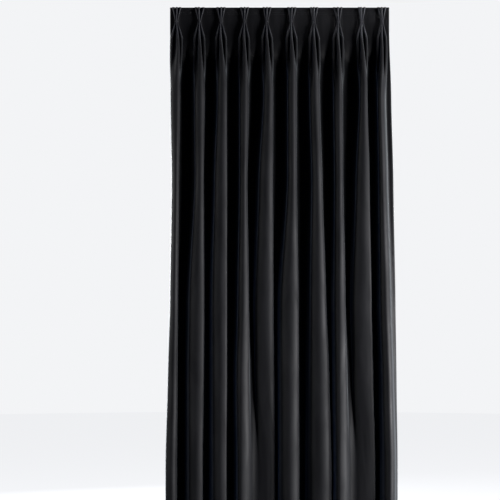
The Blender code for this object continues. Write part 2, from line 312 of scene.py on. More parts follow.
@dataclass(frozen=True)
class WovenVelvetBack(Finish):
    """The woven ground on the reverse of cotton velvet: matt, a little greyer than the pile, with fine threads."""

    name: str = "charcoal_cotton_velvet_back"
    thread: str = "1B1B1F"
    hollow: str = "0A0A0C"
    tone_range: Span = (0.25, 0.95)
    # Real ground threads are about 0.5 mm apart. They are drawn 2 mm apart, so that they show.
    thread_gap: float = 2.0 * MM
    thread_height: float = 0.18 * MM

    def surface(self, tree: NodeTree) -> Inputs:
        """Adds the weave, two sets of bands that cross, on the sheet's flat UV map.

        Args:
            tree: The material's node tree.

        Returns:
            What goes into the shader.
        """
        cloth = add_node(tree, "ShaderNodeUVMap", {"uv_map": "flat_cloth"})
        bands = [
            add_node(tree, "ShaderNodeTexWave", {"bands_direction": way, "wave_profile": "SIN"}, {
                "Vector": cloth, "Scale": wave_scale(self.thread_gap), "Distortion": 0.6, "Detail": 1.0,
            })
            for way in ("X", "Y")
        ]
        weave = add_node(tree, "ShaderNodeMath", {"operation": "MAXIMUM"}, {
            0: bands[0].outputs["Fac"], 1: bands[1].outputs["Fac"],
        })
        tone = fill_ramp(
            add_node(tree, "ShaderNodeValToRGB", inputs={"Fac": weave}),
            self.tone_range, (linear(self.hollow), linear(self.thread)),
        )
        bump = add_node(tree, "ShaderNodeBump", inputs={
            "Height": weave, "Distance": self.thread_height,
        })
        return {
            "Base Color": tone, "Normal": bump, "Roughness": 0.92,
            "Specular IOR Level": 0.20, "Sheen Weight": 0.15, "Sheen Roughness": 0.50,
        }


@dataclass(frozen=True)
class PolyesterThread(Finish):
    """Black spun polyester sewing thread: a faint gloss and a fine twist that break up each stitch's highlight."""

    name: str = "black_polyester_thread"
    strand: str = "1E1E22"
    groove: str = "0B0B0D"
    tone_range: Span = (0.2, 0.8)
    # Real twist repeats each 0.5 mm, and the same here.
    twist_gap: float = 0.5 * MM
    twist_height: float = 0.06 * MM

    def surface(self, tree: NodeTree) -> Inputs:
        """Adds the twist, as slanting bands on Object coordinates.

        Args:
            tree: The material's node tree.

        Returns:
            What goes into the shader.
        """
        place = add_node(tree, "ShaderNodeTexCoord")
        bands = add_node(tree, "ShaderNodeTexWave", {"bands_direction": "DIAGONAL"}, {
            "Vector": place.outputs["Object"], "Scale": wave_scale(self.twist_gap), "Distortion": 0.5,
        })
        tone = fill_ramp(
            add_node(tree, "ShaderNodeValToRGB", inputs={"Fac": bands.outputs["Fac"]}),
            self.tone_range, (linear(self.groove), linear(self.strand)),
        )
        bump = add_node(tree, "ShaderNodeBump", inputs={
            "Height": bands.outputs["Fac"], "Distance": self.twist_height,
        })
        return {
            "Base Color": tone, "Normal": bump, "Roughness": 0.55,
            "Sheen Weight": 0.20,
        }


@dataclass(frozen=True)
class LitAcrylicFloor(Finish):
    """White acrylic sheet lit from below: an even pale field on which the lamps leave only weak patches."""

    name: str = "lit_white_acrylic_floor"
    colour: str = "F1F2F4"
    glow: float = 0.97
    skin: str = "5A5B5E"
    stipple_gap: float = 4.0 * MM
    stipple_height: float = 0.15 * MM

    def surface(self, tree: NodeTree) -> Inputs:
        """Adds a low stipple on Object coordinates to the sheet's steady glow and matt skin.

        Args:
            tree: The material's node tree.

        Returns:
            What goes into the shader.
        """
        place = add_node(tree, "ShaderNodeTexCoord")
        stipple = add_node(tree, "ShaderNodeTexNoise", inputs={
            "Vector": place.outputs["Object"], "Scale": 1.0 / self.stipple_gap, "Detail": 1.0,
        })
        bump = add_node(tree, "ShaderNodeBump", inputs={
            "Height": stipple, "Distance": self.stipple_height, "Strength": 0.5,
        })
        return {
            "Base Color": linear(self.skin), "Normal": bump, "Roughness": 0.85,
            "Specular IOR Level": 0.05, "Emission Color": linear(self.colour), "Emission Strength": self.glow,
        }


# ------------------------------------------------------------
# How the cloth hangs
# ------------------------------------------------------------


class Loop(Enum):
    """The three loops of a pleat, from the viewer's left."""

    LEFT = 0
    MIDDLE = 1
    RIGHT = 2


@dataclass(frozen=True)
class Pleat:
    """One triple pleat and the fold that hangs from it, in millimetres.

    The pinch is measured from the middle of the curtain and everything else from the pinch. Top and low are where
    its loops stand at the top edge and at the end of the stiff heading, and merge is the drop at which they have
    become one fold. Five values are read at the fold drops: the fold's size against the mean one, the foot of its
    left slope, the edge that stands out to the right, and how gently it runs into the valley on its right. Turn is
    how rounded that edge is, and spread is how strongly a highlight is painted on the pile of its loops.
    """

    pinch: float
    top: Three
    low: Three
    merge: float
    sizes: Five
    feet: Five
    edges: Five
    softness: Five = (0.0, 0.0, 0.0, 0.0, 0.0)
    turn: float = 1.0
    spread: float = 0.45


PLEATS: tuple[Pleat, ...] = (
    Pleat(-470, (-17, 2, 19), (-26, 8, 26), 370, (0.95,) * 5,
          (-14, -24, -30, -38, -46), (16, 11, 7, 6, 5), (0.0, 0.0, 0.1, 0.2, 0.3)),
    Pleat(-366, (-18, -2, 22), (-24, 0, 23), 400, (1.00,) * 5,
          (-25, -22, -52, -57, -57), (24, 20, 22, 20, 15), turn=0.8),
    Pleat(-268, (-17, 3, 19), (-23, -3, 23), 370, (1.05,) * 5,
          (-18, -32, -45, -45, -45), (26, 27, 27, 27, 25), turn=0.5),
    Pleat(-160, (-17, 1, 18), (-25, -5, 20), 410, (0.98, 0.98, 1.00, 1.04, 1.06),
          (-25, -25, -34, -43, -38), (20, 12, 23, 37, 54), (0.0, 0.0, 0.3, 0.7, 1.0), turn=1.2),
    Pleat(-59, (-15, 2, 19), (-22, 0, 24), 390, (1.04, 1.04, 0.90, 0.55, 0.22),
          (-16, -39, -57, -52, -34), (29, 28, 30, 33, 38), turn=1.0),
    Pleat(53, (-15, 4, 21), (-24, -1, 24), 340, (1.02,) * 5,
          (-19, -19, -56, -56, -56), (25, 25, 32, 35, 39), (0.0, 0.0, 0.0, 0.1, 0.2), turn=1.2),
    Pleat(156, (-15, 0, 17), (-21, -1, 23), 420, (1.06,) * 5,
          (-21, -12, -21, -26, -30), (27, 38, 55, 69, 78), turn=1.3),
    Pleat(268, (-22, -3, 15), (-25, -5, 20), 430, (0.96, 0.96, 1.00, 1.04, 1.06),
          (-24, -20, -24, -21, -17), (20, 21, 35, 53, 72), (0.0, 0.0, 0.3, 0.7, 1.0), turn=1.2),
    Pleat(374, (-14, -3, 15), (-22, -3, 23), 380, (1.03, 1.03, 0.92, 0.57, 0.24),
          (-11, -29, -47, -40, -16), (24, 34, 43, 51, 61), turn=0.5, spread=0.9),
    Pleat(466, (-18, -1, 17), (-21, -2, 19), 430, (1.00,) * 5,
          (-21, -16, -12, -3, 2), (16, 25, 41, 52, 62), (0.6, 0.4, 0.1, 0.0, 0.0)),
)


@dataclass(frozen=True)
class SideEdge:
    """A side edge of the cloth at the fold drops, in millimetres: its own place, and the bend beside it."""

    edge_x: Five
    edge_y: Five
    bend_x: Five
    bend_y: Five


def eased(share: Amount) -> Amount:
    """Eases a share from 0 to 1."""
    share = np.clip(share, 0.0, 1.0)
    return share * share * (3.0 - 2.0 * share)


def between(first: Amount, last: Amount, share: Amount) -> Amount:
    """The value at a share of the way from the first to the last."""
    return first + (last - first) * share


def read_table(drop: float, drops: Sequence[float], values: Sequence[float]) -> float:
    """Reads a table by drop, and eases from each of its stations to the next.

    Args:
        drop: How far below the top edge.
        drops: The stations.
        values: One value for each station.

    Returns:
        The value at the drop.
    """
    drop = min(max(drop, drops[0]), drops[-1])
    i = min(int(np.searchsorted(drops, drop, side="right")) - 1, len(drops) - 2)
    share = (drop - drops[i]) / (drops[i + 1] - drops[i])
    return between(values[i], values[i + 1], 0.5 * share + 0.5 * float(eased(share)))


def curve_through(anchors: np.ndarray, steps: Sequence[int]) -> np.ndarray:
    """Draws a smooth curve through anchors, with knots spaced by the root of their distance.

    Args:
        anchors: Points in plan.
        steps: How many points each stretch from one anchor to the next is given.

    Returns:
        The curve's points, the last anchor among them.
    """
    points = np.vstack([2 * anchors[0] - anchors[1], anchors, 2 * anchors[-1] - anchors[-2]])
    apart = np.linalg.norm(np.diff(points, axis=0), axis=1)
    knots = np.concatenate([[0.0], np.cumsum(np.sqrt(apart) + TINY)])
    stretch = np.repeat(np.arange(len(anchors) - 1), steps)
    share = np.concatenate([np.arange(n) / n for n in steps])[:, None]
    line = [points[stretch + i] for i in range(4)]
    at = [knots[stretch + i][:, None] for i in range(4)]
    here = between(at[1], at[2], share)
    for reach in (1, 2):
        line = [
            between(line[i], line[i + 1], (here - at[i]) / (at[i + reach] - at[i])) for i in range(4 - reach)
        ]
    return np.vstack([between(line[0], line[1], share), anchors[-1:]])


@dataclass
class HungCloth:
    """The curtain's section in plan at any drop: the same sizes that the solid is made from, on a finer line."""

    drop: float = 2.500
    width: float = 1.000
    cloth: float = 0.0015
    # The heading: where it is pinched, where its stiffness ends, and where the spaces between pleats let go.
    pinch_drop: float = 0.066
    stiff_drop: float = 0.142
    relax_drop: float = 0.105
    pinch_gap: float = 0.0038
    end_flat: float = 0.030
    end_forward: float = 0.006
    pleat_cloth: float = 0.146
    middle_reach: float = 0.003
    most_lean: float = 0.75

    # A pleat's loops at four drops: half widths at its root, between loops and at their fronts, how far forward
    # the inner bends stand, and how far the loops reach. The shares place its points along its cloth.
    pleat_drops: Table = (0.0, 0.066, 0.142, 0.300)
    root_half: Table = (0.0085, 0.00675, 0.0130, 0.0260)
    left_base: Table = (0.0038, 0.0027, 0.0070, 0.0120)
    right_base: Table = (0.0038, 0.0027, 0.0070, 0.0080)
    base_half: Table = (0.0014, 0.00135, 0.0025, 0.0040)
    left_forward: Table = (0.0012, 0.0012, 0.0060, 0.0120)
    right_forward: Table = (0.0012, 0.0012, 0.0070, 0.0300)
    front_half: Table = (0.0028, 0.00095, 0.0036, 0.0070)
    loop_reach: Table = (0.0220, 0.0220, 0.0240, 0.0220)
    open_drift: Three = (-0.002, 0.012, 0.006)
    pleat_shares: Table = (0.0, 0.11, 0.20, 0.29, 0.38, 0.46, 0.54, 0.62, 0.70, 0.79, 0.89, 1.0)

    # A fold from its foot on the left, over its slope, crest, turn and edge, down its wall to the next valley.
    # A share is one of its width and a fall one of its depth. Soft values hold where it runs gently out.
    fold_drops: Table = (0.420, 0.790, 1.340, 1.700, 2.070)
    wall_drops: Table = (0.250, 0.360, 0.790, 2.500)
    wall_overhang: Table = (0.001, 0.005, 0.008, 0.009)
    crest_share: Table = (0.62, 0.58, 0.60, 0.60)
    shoulder_share: Table = (0.26, 0.16, 0.20, 0.30)
    slope_fall: Table = (0.05, 0.05, 0.06, 0.08)
    slope_share: float = 0.50
    shoulder_fall: float = 0.18
    foot_rise: float = 0.40
    last_turn_fall: float = 0.10
    turn_share: float = 0.60
    turn_fall: float = 0.040
    soft_turn_fall: float = 0.12
    edge_fall: float = 0.16
    soft_edge_fall: float = 0.38
    wall_fall: float = 0.50
    soft_wall_fall: float = 0.90
    last_fall: float = 0.34
    soft_valley: float = 0.46
    soft_crest: float = 0.38
    soft_edge: float = 0.47
    soft_wall: float = 0.20
    first_turn: float = 0.006
    first_fall: float = 0.10
    left_end: SideEdge = SideEdge(
        (-488, -482, -491, -501, -511), (34, 42, 46, 46, 46), (-497, -492, -500, -510, -520), (10, 8, 6, 6, 6),
    )
    right_end: SideEdge = SideEdge(
        (510, 520, 530, 535, 540), (4, 6, 13, 17, 21), (489, 498, 514, 525, 534), (11, 10, 9, 9, 10),
    )
    flap_middle: float = 0.40
    valley_shift: float = 0.002
    # Where the spaces between pleats turn into valleys.
    space_drops: Span = (0.150, 0.310)
    space_half: float = 0.030
    space_fade: float = 0.035
    # How finely the line is drawn, and how the depth of the folds is searched for.
    end_steps: int = 2
    pleat_steps: int = 3
    space_steps: int = 4
    curve_steps: int = 8
    depth_stations: int = 24
    least_depth: float = 0.02
    most_depth: float = 0.20
    depth_halvings: int = 18

    def __post_init__(self) -> None:
        """Lays the flat cloth out, and finds the depth of the folds at a few drops."""
        pleat = np.array(self.pleat_shares) * self.pleat_cloth
        root = read_table(self.pinch_drop, self.pleat_drops, self.root_half)
        marks, owners = [0.0, 0.5 * self.end_flat], [0.0, 0.0]
        steps = [self.end_steps] * 2
        start = self.end_flat
        starts, middles = [], []
        for k, row in enumerate(PLEATS):
            starts.append(start)
            marks += list(start + pleat)
            owners += [float(k)] * len(pleat)
            steps += [self.pleat_steps] * (len(pleat) - 1)
            start += pleat[-1]
            if k + 1 < len(PLEATS):
                space = (PLEATS[k + 1].pinch - row.pinch) * MM - 2 * root
                marks += [start + space / 3, start + 2 * space / 3]
                owners += [k + 0.5] * 2
                steps += [self.space_steps] * 3
                middles.append(start + 0.5 * space)
                start += space
        marks += [start + 0.5 * self.end_flat, start + self.end_flat]
        owners += [float(len(PLEATS) - 1)] * 2
        steps += [self.end_steps] * 2
        self.steps = steps
        self.marks = self.refined(np.array(marks))
        self.owners = self.refined(np.array(owners))
        self.pleat_starts, self.space_middles = np.array(starts), np.array(middles)
        nearest = np.min(np.abs(self.marks[:, None] - self.space_middles[None, :]), axis=1)
        self.in_space = eased(1.0 - (nearest - self.space_half) / self.space_fade)
        self.flat_width = float(self.marks[-1])
        self.depth_drops = np.linspace(self.wall_drops[0], self.drop, self.depth_stations)
        self.depths = np.array([self.solve_depth(drop) for drop in self.depth_drops])

    def refined(self, values: np.ndarray) -> np.ndarray:
        """Fills in evenly between the values of the coarse marks."""
        at = np.concatenate([i + np.arange(n) / n for i, n in enumerate(self.steps)] + [[len(self.steps)]])
        return np.interp(at, np.arange(len(values)), values)

    def level(self, drop: float, values: Sequence[float]) -> float:
        """Reads one of the pleat tables."""
        return read_table(drop, self.pleat_drops, values)

    def pleat_plan(self, row: Pleat, drop: float) -> np.ndarray:
        """A pleat's twelve points in plan, from its left root to its right one.

        Args:
            row: The pleat.
            drop: How far below the top edge.

        Returns:
            Twelve points, in metres.
        """
        root, half = self.level(drop, self.root_half), self.level(drop, self.base_half)
        bases = (-self.level(drop, self.left_base), self.level(drop, self.right_base))
        forward = (-self.level(drop, self.left_forward), -self.level(drop, self.right_forward))
        points = [(-root, 0.0)]
        for loop in Loop:
            i = loop.value
            low = row.low[i] * MM
            front_x = float(np.interp(drop, self.pleat_drops, (
                row.top[i] * MM, (i - 1) * self.pinch_gap, low, low + self.open_drift[i],
            )))
            base_x = 0.5 * ((-root, *bases)[i] + (*bases, root)[i])
            reach = self.level(drop, self.loop_reach) + (self.middle_reach if loop is Loop.MIDDLE else 0.0)
            run = float(np.clip(front_x - base_x, -self.most_lean * reach, self.most_lean * reach))
            axis = np.array([run, -math.sqrt(reach ** 2 - run ** 2)]) / reach
            square = np.array([-axis[1], axis[0]]) * self.level(drop, self.front_half)
            stand = 0.5 * (forward[max(i - 1, 0)] + forward[min(i, 1)])
            front = np.array([front_x, axis[1] * reach + stand])
            points += [front - square, front + square]
            if loop is not Loop.RIGHT:
                points += [(bases[i] - half, forward[i]), (bases[i] + half, forward[i])]
        points.append((root, 0.0))
        return np.array(points) + (row.pinch * MM, 0.0)

    def heading_plan(self, drop: float) -> np.ndarray:
        """The section in plan while the heading holds it, with rounded loops and straight spaces.

        Args:
            drop: How far below the top edge.

        Returns:
            Points in plan, one at each cloth mark.
        """
        pleats = [self.pleat_plan(row, drop) for row in PLEATS]
        ends = np.array([(-0.5 * self.width, 0.0), (0.5 * self.width, -self.end_forward)])
        points = [ends[:1], between(ends[:1], pleats[0][:1], 0.5), pleats[0]]
        for here, following in zip(pleats, pleats[1:]):
            points += [between(here[-1:], following[:1], share / 3) for share in (1, 2)] + [following]
        points += [between(pleats[-1][-1:], ends[1:], 0.5), ends[1:]]
        return curve_through(np.concatenate(points), self.steps)

    def fold_anchors(self, drop: float, depth: float) -> tuple[np.ndarray, list[int]]:
        """Anchors of the whole folded section in plan.

        Args:
            drop: How far below the top edge.
            depth: How far a fold of the mean size stands forward of its valleys.

        Returns:
            The anchors, and the index of each valley's bottom among them.
        """
        feet = [(row.pinch + read_table(drop, self.fold_drops, row.feet)) * MM for row in PLEATS]
        edges = [(row.pinch + read_table(drop, self.fold_drops, row.edges)) * MM for row in PLEATS]
        overhang, crest_share, shoulder_share, slope_fall = (
            read_table(drop, self.wall_drops, values)
            for values in (self.wall_overhang, self.crest_share, self.shoulder_share, self.slope_fall)
        )
        anchors = self.end_anchors(self.left_end, drop)
        valleys: list[int] = []
        back = 0.5 * depth
        for k, row in enumerate(PLEATS):
            front = -0.5 * depth * read_table(drop, self.fold_drops, row.sizes)
            soft = read_table(drop, self.fold_drops, row.softness)
            crest = between(feet[k], edges[k], crest_share - self.soft_crest * soft)
            if k:
                anchors.append((feet[k], between(back, front, self.foot_rise)))
                for share, fall in ((shoulder_share, self.shoulder_fall), (self.slope_share, slope_fall)):
                    anchors.append((between(feet[k], crest, share), between(front, back, fall)))
            else:
                anchors.append((anchors[-1][0] + self.first_turn, front + self.first_fall * depth))
            anchors.append((crest, front))
            if k == len(PLEATS) - 1:
                turn = between(crest, edges[k], self.turn_share)
                anchors.append((turn, between(front, 0.5 * depth, self.last_turn_fall)))
                anchors.append((edges[k], between(front, 0.5 * depth, self.last_fall)))
                edge, bend = (np.array(anchor) for anchor in self.end_anchors(self.right_end, drop))
                anchors += [tuple(bend), tuple(between(bend, edge, self.flap_middle)), tuple(edge)]
                break
            back = 0.5 * depth + (front - (0.5 - self.soft_valley) * depth) * soft
            fall = back - front
            inward = soft * (edges[k] - crest)
            edge = edges[k] - self.soft_edge * inward
            wall = edges[k] - (1.0 - soft) * overhang - self.soft_wall * inward
            for x, hard_fall, soft_fall in (
                (between(crest, edge, self.turn_share), row.turn * self.turn_fall, self.soft_turn_fall),
                (edge, row.turn * self.edge_fall, self.soft_edge_fall),
                (wall, self.wall_fall, self.soft_wall_fall),
            ):
                anchors.append((x, front + between(hard_fall, soft_fall, soft) * fall))
            valleys.append(len(anchors))
            anchors.append((0.5 * (edges[k] + feet[k + 1]) + self.valley_shift, back))
        return np.array(anchors), valleys

    def end_anchors(self, end: SideEdge, drop: float) -> list[tuple[float, float]]:
        """A side edge's own point and its bend, from the edge inwards.

        Args:
            end: The side edge.
            drop: How far below the top edge.

        Returns:
            The edge and then its bend, in plan.
        """
        edge_x, edge_y, bend_x, bend_y = (
            read_table(drop, self.fold_drops, values) * MM
            for values in (end.edge_x, end.edge_y, end.bend_x, end.bend_y)
        )
        return [(edge_x, edge_y), (bend_x, bend_y)]

    def fold_plan(self, drop: float, depth: float) -> tuple[np.ndarray, float]:
        """The folded section in plan at each cloth mark, and its whole length.

        Args:
            drop: How far below the top edge.
            depth: How far a fold of the mean size stands forward of its valleys.

        Returns:
            Points in plan, one at each cloth mark, and the length of the whole section.
        """
        anchors, valleys = self.fold_anchors(drop, depth)
        curve = curve_through(anchors, [self.curve_steps] * (len(anchors) - 1))
        run = np.concatenate([[0.0], np.cumsum(np.linalg.norm(np.diff(curve, axis=0), axis=1))])
        run_stops = np.concatenate([[0.0], run[np.array(valleys) * self.curve_steps], [run[-1]]])
        cloth_stops = np.concatenate([[0.0], self.space_middles, [self.flat_width]])
        at = np.interp(self.marks, cloth_stops, run_stops)
        return np.column_stack([np.interp(at, run, curve[:, i]) for i in range(2)]), float(run[-1])

    def solve_depth(self, drop: float) -> float:
        """The depth of folds that takes up just the width of the flat cloth.

        Args:
            drop: How far below the top edge.

        Returns:
            How far a fold of the mean size stands forward of its valleys.
        """
        low, high = self.least_depth, self.most_depth
        for _ in range(self.depth_halvings):
            depth = 0.5 * (low + high)
            if self.fold_plan(drop, depth)[1] < self.flat_width:
                low = depth
            else:
                high = depth
        return 0.5 * (low + high)

    def section(self, drop: float) -> np.ndarray:
        """The middle line of the cloth in plan at one drop.

        Args:
            drop: How far below the top edge.

        Returns:
            Points in plan, one at each cloth mark.
        """
        merge = np.interp(self.owners, range(len(PLEATS)), [row.merge * MM for row in PLEATS])
        first = between(self.relax_drop, self.space_drops[0], self.in_space)
        last = between(merge, self.space_drops[1], self.in_space)
        at = max(drop, self.wall_drops[0])
        folds = self.fold_plan(at, float(np.interp(at, self.depth_drops, self.depths)))[0]
        return between(self.heading_plan(drop), folds, eased((drop - first) / (last - first))[:, None])


def outward(line: np.ndarray) -> np.ndarray:
    """Unit directions square to a line in plan, towards the face that the viewer sees.

    Args:
        line: Points in plan, from the viewer's left to right.

    Returns:
        One direction for each point.
    """
    runs = np.gradient(line, axis=0)
    runs /= np.linalg.norm(runs, axis=1)[:, None] + TINY
    return np.column_stack([runs[:, 1], -runs[:, 0]])


def beside(line: np.ndarray, away: Amount, drop: float) -> np.ndarray:
    """Moves a line off the middle of the cloth.

    Args:
        line: Points in plan, from the viewer's left to right.
        away: How far towards the viewer, for all points or for each.
        drop: How far below the top edge.

    Returns:
        Points in space.
    """
    away = np.broadcast_to(away, len(line))[:, None]
    return np.column_stack([line + outward(line) * away, np.full(len(line), -drop)])


# ------------------------------------------------------------
# Pieces
# ------------------------------------------------------------


def added(name: str, data: bpy.types.ID) -> Piece:
    """Adds an object for some data to the scene.

    Args:
        name: The object's name.
        data: Its mesh, curve, light or camera.

    Returns:
        The new object.
    """
    piece = bpy.data.objects.new(name, data)
    bpy.context.scene.collection.objects.link(piece)
    return piece


def dressed(piece: Piece, name: str, *finishes: Material) -> Piece:
    """Names a finished object, gives it its materials and lets it ride on the curtain's body.

    Args:
        piece: The object, with its place in its mesh.
        name: The piece's name.
        finishes: Its materials.

    Returns:
        The same object.
    """
    piece.name = name
    piece.data.name = name
    for finish in finishes:
        piece.data.materials.append(finish)
    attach(piece, BODY)
    log.info("%s: %d faces", name, len(piece.data.polygons))
    return piece


@dataclass
class VelvetPanel:
    """The curtain's cloth, as one closed sheet with its turned top edge, side hems and bottom hem."""

    hung: HungCloth
    # The top and bottom edges: a bead near the top, how thin an edge starts, and how soon it has its full thickness.
    bead: float = 0.0009
    bead_drop: float = 0.0025
    bead_width: float = 0.0022
    edge_share: float = 0.12
    edge_run: float = 0.0020
    # The heading's seams, each in a shallow groove.
    seam_drops: Three = (0.009, 0.021, 0.030)
    seam_sink: float = 0.00035
    seam_width: float = 0.0016
    # The turned-in cloth: how far it reaches in, how much it adds behind, and how it starts.
    heading_turn: float = 0.138
    heading_lift: float = 0.0006
    heading_start: Span = (0.088, 0.108)
    side_hem: float = 0.038
    bottom_hem: float = 0.100
    hem_lift: float = 0.0012
    hem_edge_share: float = 0.1
    hem_edge_run: float = 0.004
    # Where small creases show beside the right edge, and where a highlight is painted on the pile along the loops.
    crease_drops: Span = (0.80, 1.65)
    crease_cloth: float = 0.110
    loop_shares: Three = (0.155, 0.50, 0.84)
    highlight_width: float = 0.0026
    highlight_drops: Span = (0.100, 0.160)
    # The sheet's rows: at edges, seams and steps, and by first, last and pitch between them.
    top_rows: Table = (0.0, 0.0008, 0.0025, 0.006)
    seam_row: float = 0.0022
    step_row: float = 0.0025
    loop_rows: Three = (0.037, 0.180, 0.0065)
    fold_rows: Three = (0.187, 0.460, 0.0105)
    long_start: float = 0.475
    long_rows: int = 34
    hem_gap: float = 0.020
    bottom_rows: Three = (0.050, 0.004, 0.001)

    def row_drops(self) -> np.ndarray:
        """Drops of the sheet's rows: close together in the heading and where its loops open, wide apart below.

        Returns:
            Every drop once, from the top edge down.
        """
        hem = self.hung.drop - self.bottom_hem
        rows = [*self.top_rows, self.hung.pinch_drop, self.hung.stiff_drop]
        rows += [seam + side for seam in self.seam_drops for side in (-self.seam_row, 0.0, self.seam_row)]
        rows += [self.heading_turn, self.heading_turn + self.step_row, hem - self.step_row, hem, self.hung.drop]
        rows += [*np.arange(*self.loop_rows), *np.arange(*self.fold_rows)]
        rows += [*np.linspace(self.long_start, hem - self.hem_gap, self.long_rows)]
        rows += [self.hung.drop - row for row in self.bottom_rows]
        return np.unique(np.round(rows, 5))

    def half_thickness(self, drop: float) -> float:
        """Half the cloth's thickness: rounded at the top and bottom edges, and sunk along the heading's seams.

        Args:
            drop: How far below the top edge.

        Returns:
            Half the thickness, before any cloth that is turned in.
        """
        bead = self.bead * math.exp(-((drop - self.bead_drop) / self.bead_width) ** 2)
        sunk = self.seam_sink * sum(math.exp(-((drop - seam) / self.seam_width) ** 2) for seam in self.seam_drops)
        rounded = math.sqrt(min(1.0, self.edge_share + min(drop, self.hung.drop - drop) / self.edge_run))
        return (0.5 * self.hung.cloth + bead) * rounded - sunk

    def turned(self, drop: float) -> np.ndarray:
        """How much the turned-in cloth of heading and hems adds behind the sheet, at each mark.

        Args:
            drop: How far below the top edge.

        Returns:
            The added thickness at each cloth mark.
        """
        marks = self.hung.marks
        from_side = np.minimum(marks, self.hung.flat_width - marks)
        side = self.hem_lift * (from_side < self.side_hem) * (drop > self.heading_turn)
        bottom = self.hem_lift * (drop >= self.hung.drop - self.bottom_hem)
        first, last = self.heading_start
        heading = self.heading_lift * float(eased((drop - first) / (last - first))) * (drop <= self.heading_turn)
        rim = min(1.0, self.hem_edge_share + (self.hung.drop - drop) / self.hem_edge_run)
        return np.maximum(side, max(bottom, heading)) * rim

    def faces_of(self, drop: float) -> tuple[np.ndarray, np.ndarray]:
        """Both faces of the cloth at one drop, as points in space.

        Args:
            drop: How far below the top edge.

        Returns:
            The front's points and the back's.
        """
        line = self.hung.section(drop)
        half = self.half_thickness(drop)
        return beside(line, half, drop), beside(line, -half - self.turned(drop), drop)

    def creased(self, rows: np.ndarray) -> np.ndarray:
        """How much each point of the sheet is creased: only beside the right edge, and not near its ends.

        Args:
            rows: The drops of the sheet's rows.

        Returns:
            From 0 to 1, by row and cloth mark.
        """
        first, last = self.crease_drops
        along = np.sin(np.pi * np.clip((rows - first) / (last - first), 0.0, 1.0)) ** 0.5
        across = eased((self.hung.marks - self.hung.flat_width + self.crease_cloth) / (0.5 * self.crease_cloth))
        return along[:, None] * across[None, :]

    def spread(self, rows: np.ndarray) -> np.ndarray:
        """How strongly a highlight is painted on the pile at each point: along the tight front turns of the heading's
        loops.

        Args:
            rows: The drops of the sheet's rows.

        Returns:
            From 0 to 1, by row and cloth mark.
        """
        turns = self.hung.pleat_starts[:, None] + np.array(self.loop_shares)[None, :] * self.hung.pleat_cloth
        away = np.min(np.abs(self.hung.marks[None, :, None] - turns[:, None, :]), axis=2)
        across = np.array([row.spread for row in PLEATS]) @ np.exp(-((away / self.highlight_width) ** 2))
        first, last = self.highlight_drops
        along = 1.0 - eased((rows - first) / (last - first))
        return along[:, None] * across[None, :]

    def build(self, pile: Material, reverse: Material) -> Piece:
        """Makes the sheet.

        Args:
            pile: Velvet's pile, for the front and for the hems turned to the back.
            reverse: Velvet's woven back.

        Returns:
            The sheet, standing for the solid panel.
        """
        rows = self.row_drops()
        faces = [self.faces_of(drop) for drop in rows]
        count, columns = len(rows) * len(self.hung.marks), len(self.hung.marks)
        places = np.concatenate([np.concatenate([f for f, _ in faces]), np.concatenate([b for _, b in faces])])
        index = np.arange(count).reshape(len(rows), columns)
        a, b, c, d = index[:-1, :-1], index[1:, :-1], index[1:, 1:], index[:-1, 1:]
        front = np.stack([a, b, c, d], axis=-1).reshape(-1, 4)
        back = np.stack([a, d, c, b], axis=-1).reshape(-1, 4) + count
        rim = np.concatenate([index[0], index[1:, -1], index[-1, -2::-1], index[-2:0:-1, 0]])
        following = np.roll(rim, -1)
        edge = np.stack([rim, following, following + count, rim + count], axis=-1)
        mesh = bpy.data.meshes.new("velvet_cloth")
        mesh.from_pydata(places.tolist(), [], np.concatenate([front, back, edge]).tolist())
        mesh.shade_smooth()
        self.mark_cloth(mesh, rows)
        piece = dressed(added("velvet_cloth", mesh), "velvet_cloth", pile, reverse)
        slots = np.zeros(len(mesh.polygons), dtype=np.int32)
        slots[len(front):len(front) + len(back)] = ~self.turned_patches(rows)
        mesh.polygons.foreach_set("material_index", slots)
        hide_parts(CAD_NODE)
        return piece

    def turned_patches(self, rows: np.ndarray) -> np.ndarray:
        """Which patches of the back are cloth turned in from the front, row by row.

        Args:
            rows: The drops of the sheet's rows.

        Returns:
            True for each patch that is.
        """
        middle = 0.5 * (self.hung.marks[:-1] + self.hung.marks[1:])
        from_side = np.minimum(middle, self.hung.flat_width - middle)
        level = 0.5 * (rows[:-1] + rows[1:])
        turned = (level < self.heading_turn) | (level > self.hung.drop - self.bottom_hem)
        return (turned[:, None] | (from_side < self.side_hem)[None, :]).reshape(-1)

    def mark_cloth(self, mesh: bpy.types.Mesh, rows: np.ndarray) -> None:
        """Gives the sheet its flat UV map, in metres, and says where it is creased and where a highlight is painted on
        its pile.

        Args:
            mesh: The sheet's mesh.
            rows: The drops of the sheet's rows.
        """
        flat = np.array([(mark, self.hung.drop - drop) for drop in rows for mark in self.hung.marks])
        flat = np.concatenate([flat, flat])
        corners = np.zeros(len(mesh.loops), dtype=np.int32)
        mesh.loops.foreach_get("vertex_index", corners)
        layer = mesh.uv_layers.new(name="flat_cloth")
        layer.data.foreach_set("uv", flat[corners].astype(np.float32).reshape(-1))
        for name, values in (("crease", self.creased(rows)), ("spread", self.spread(rows))):
            attribute = mesh.attributes.new(name, "FLOAT", "POINT")
            attribute.data.foreach_set("value", np.tile(values.reshape(-1), 2).astype(np.float32))


def select_only(piece: Piece) -> None:
    """Deselects everything, and then selects one object and makes it the active one.

    Args:
        piece: The object.
    """
    bpy.ops.object.select_all(action="DESELECT")
    piece.select_set(True)
    bpy.context.view_layer.objects.active = piece


class Part(Enum):
    """What edit mode selects."""

    FACE = "faces"
    EDGE = "edges"


